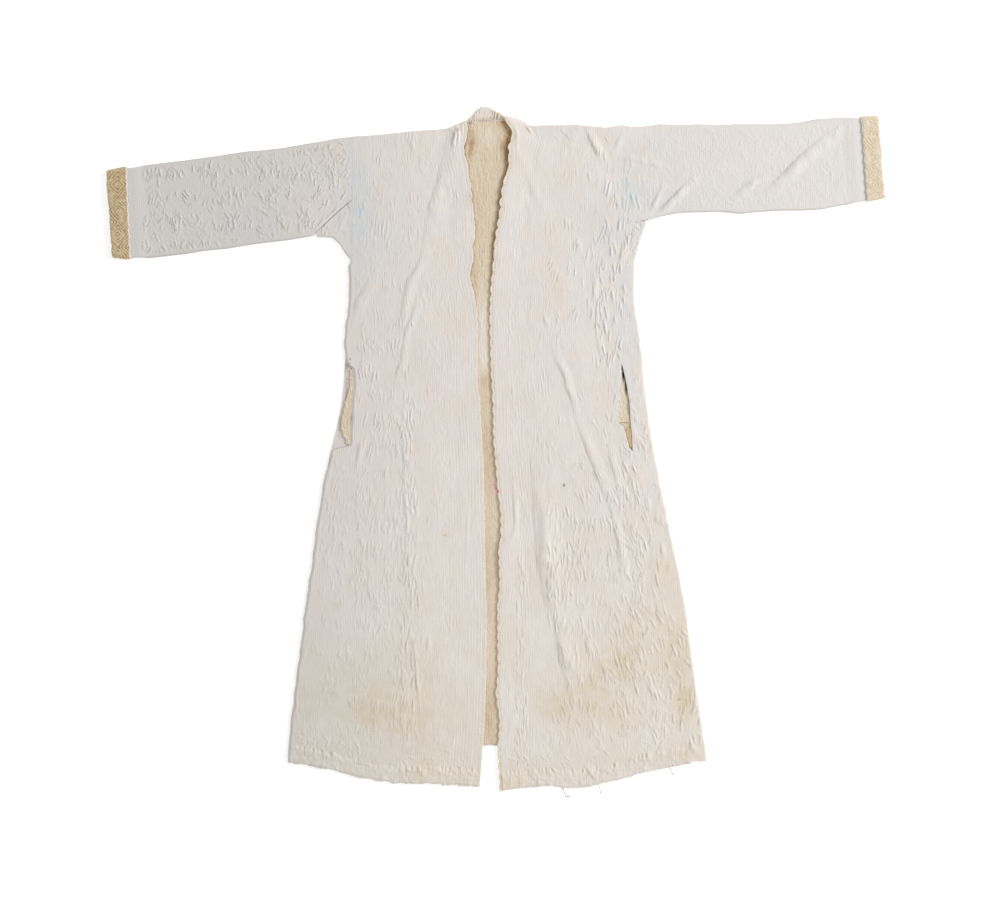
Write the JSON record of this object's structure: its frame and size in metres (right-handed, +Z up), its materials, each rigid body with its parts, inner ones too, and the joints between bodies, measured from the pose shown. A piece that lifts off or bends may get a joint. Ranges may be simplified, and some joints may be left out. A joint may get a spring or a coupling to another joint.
{
  "type": "abaya",
  "caption": "Long open-front abaya robe of quilted off-white cotton, laid flat with its sleeves spread, ochre lining turned back at the cuffs and scalloped front edges.",
  "frame": {"origin": "on the floor under the centre of the garment's outline", "axes": "+X to the wearer's left, along the spread sleeves; +Y from the hem to the neck; +Z up from the floor"},
  "size_m": [1.401, 1.2312, 0.0137],
  "materials": {
    "quilted_cotton": "worn quilted cotton, off-white, matt, with faint stains",
    "back_cloth": "worn quilted cotton, off-white, matt",
    "lining": "yellowed cotton lining, matt, finely quilted",
    "cuff_lining": "ochre cotton lining, matt, finely quilted",
    "binding": "cream cotton binding, puckered, matt"
  },
  "bodies": {
    "root": {"back_panel": "back_cloth", "back_lining": "lining", "front_right": "quilted_cotton", "front_left": "quilted_cotton", "binding_right": "binding", "binding_left": "binding", "sleeve_right": "quilted_cotton", "sleeve_left": "quilted_cotton", "cuff_right": "cuff_lining", "cuff_left": "cuff_lining", "gusset_right": "quilted_cotton", "gusset_left": "quilted_cotton", "neck_band": "binding", "slit_facing_right": "lining", "slit_facing_left": "lining", "slit_tab_left": "lining"}
  },
  "joints": []
}
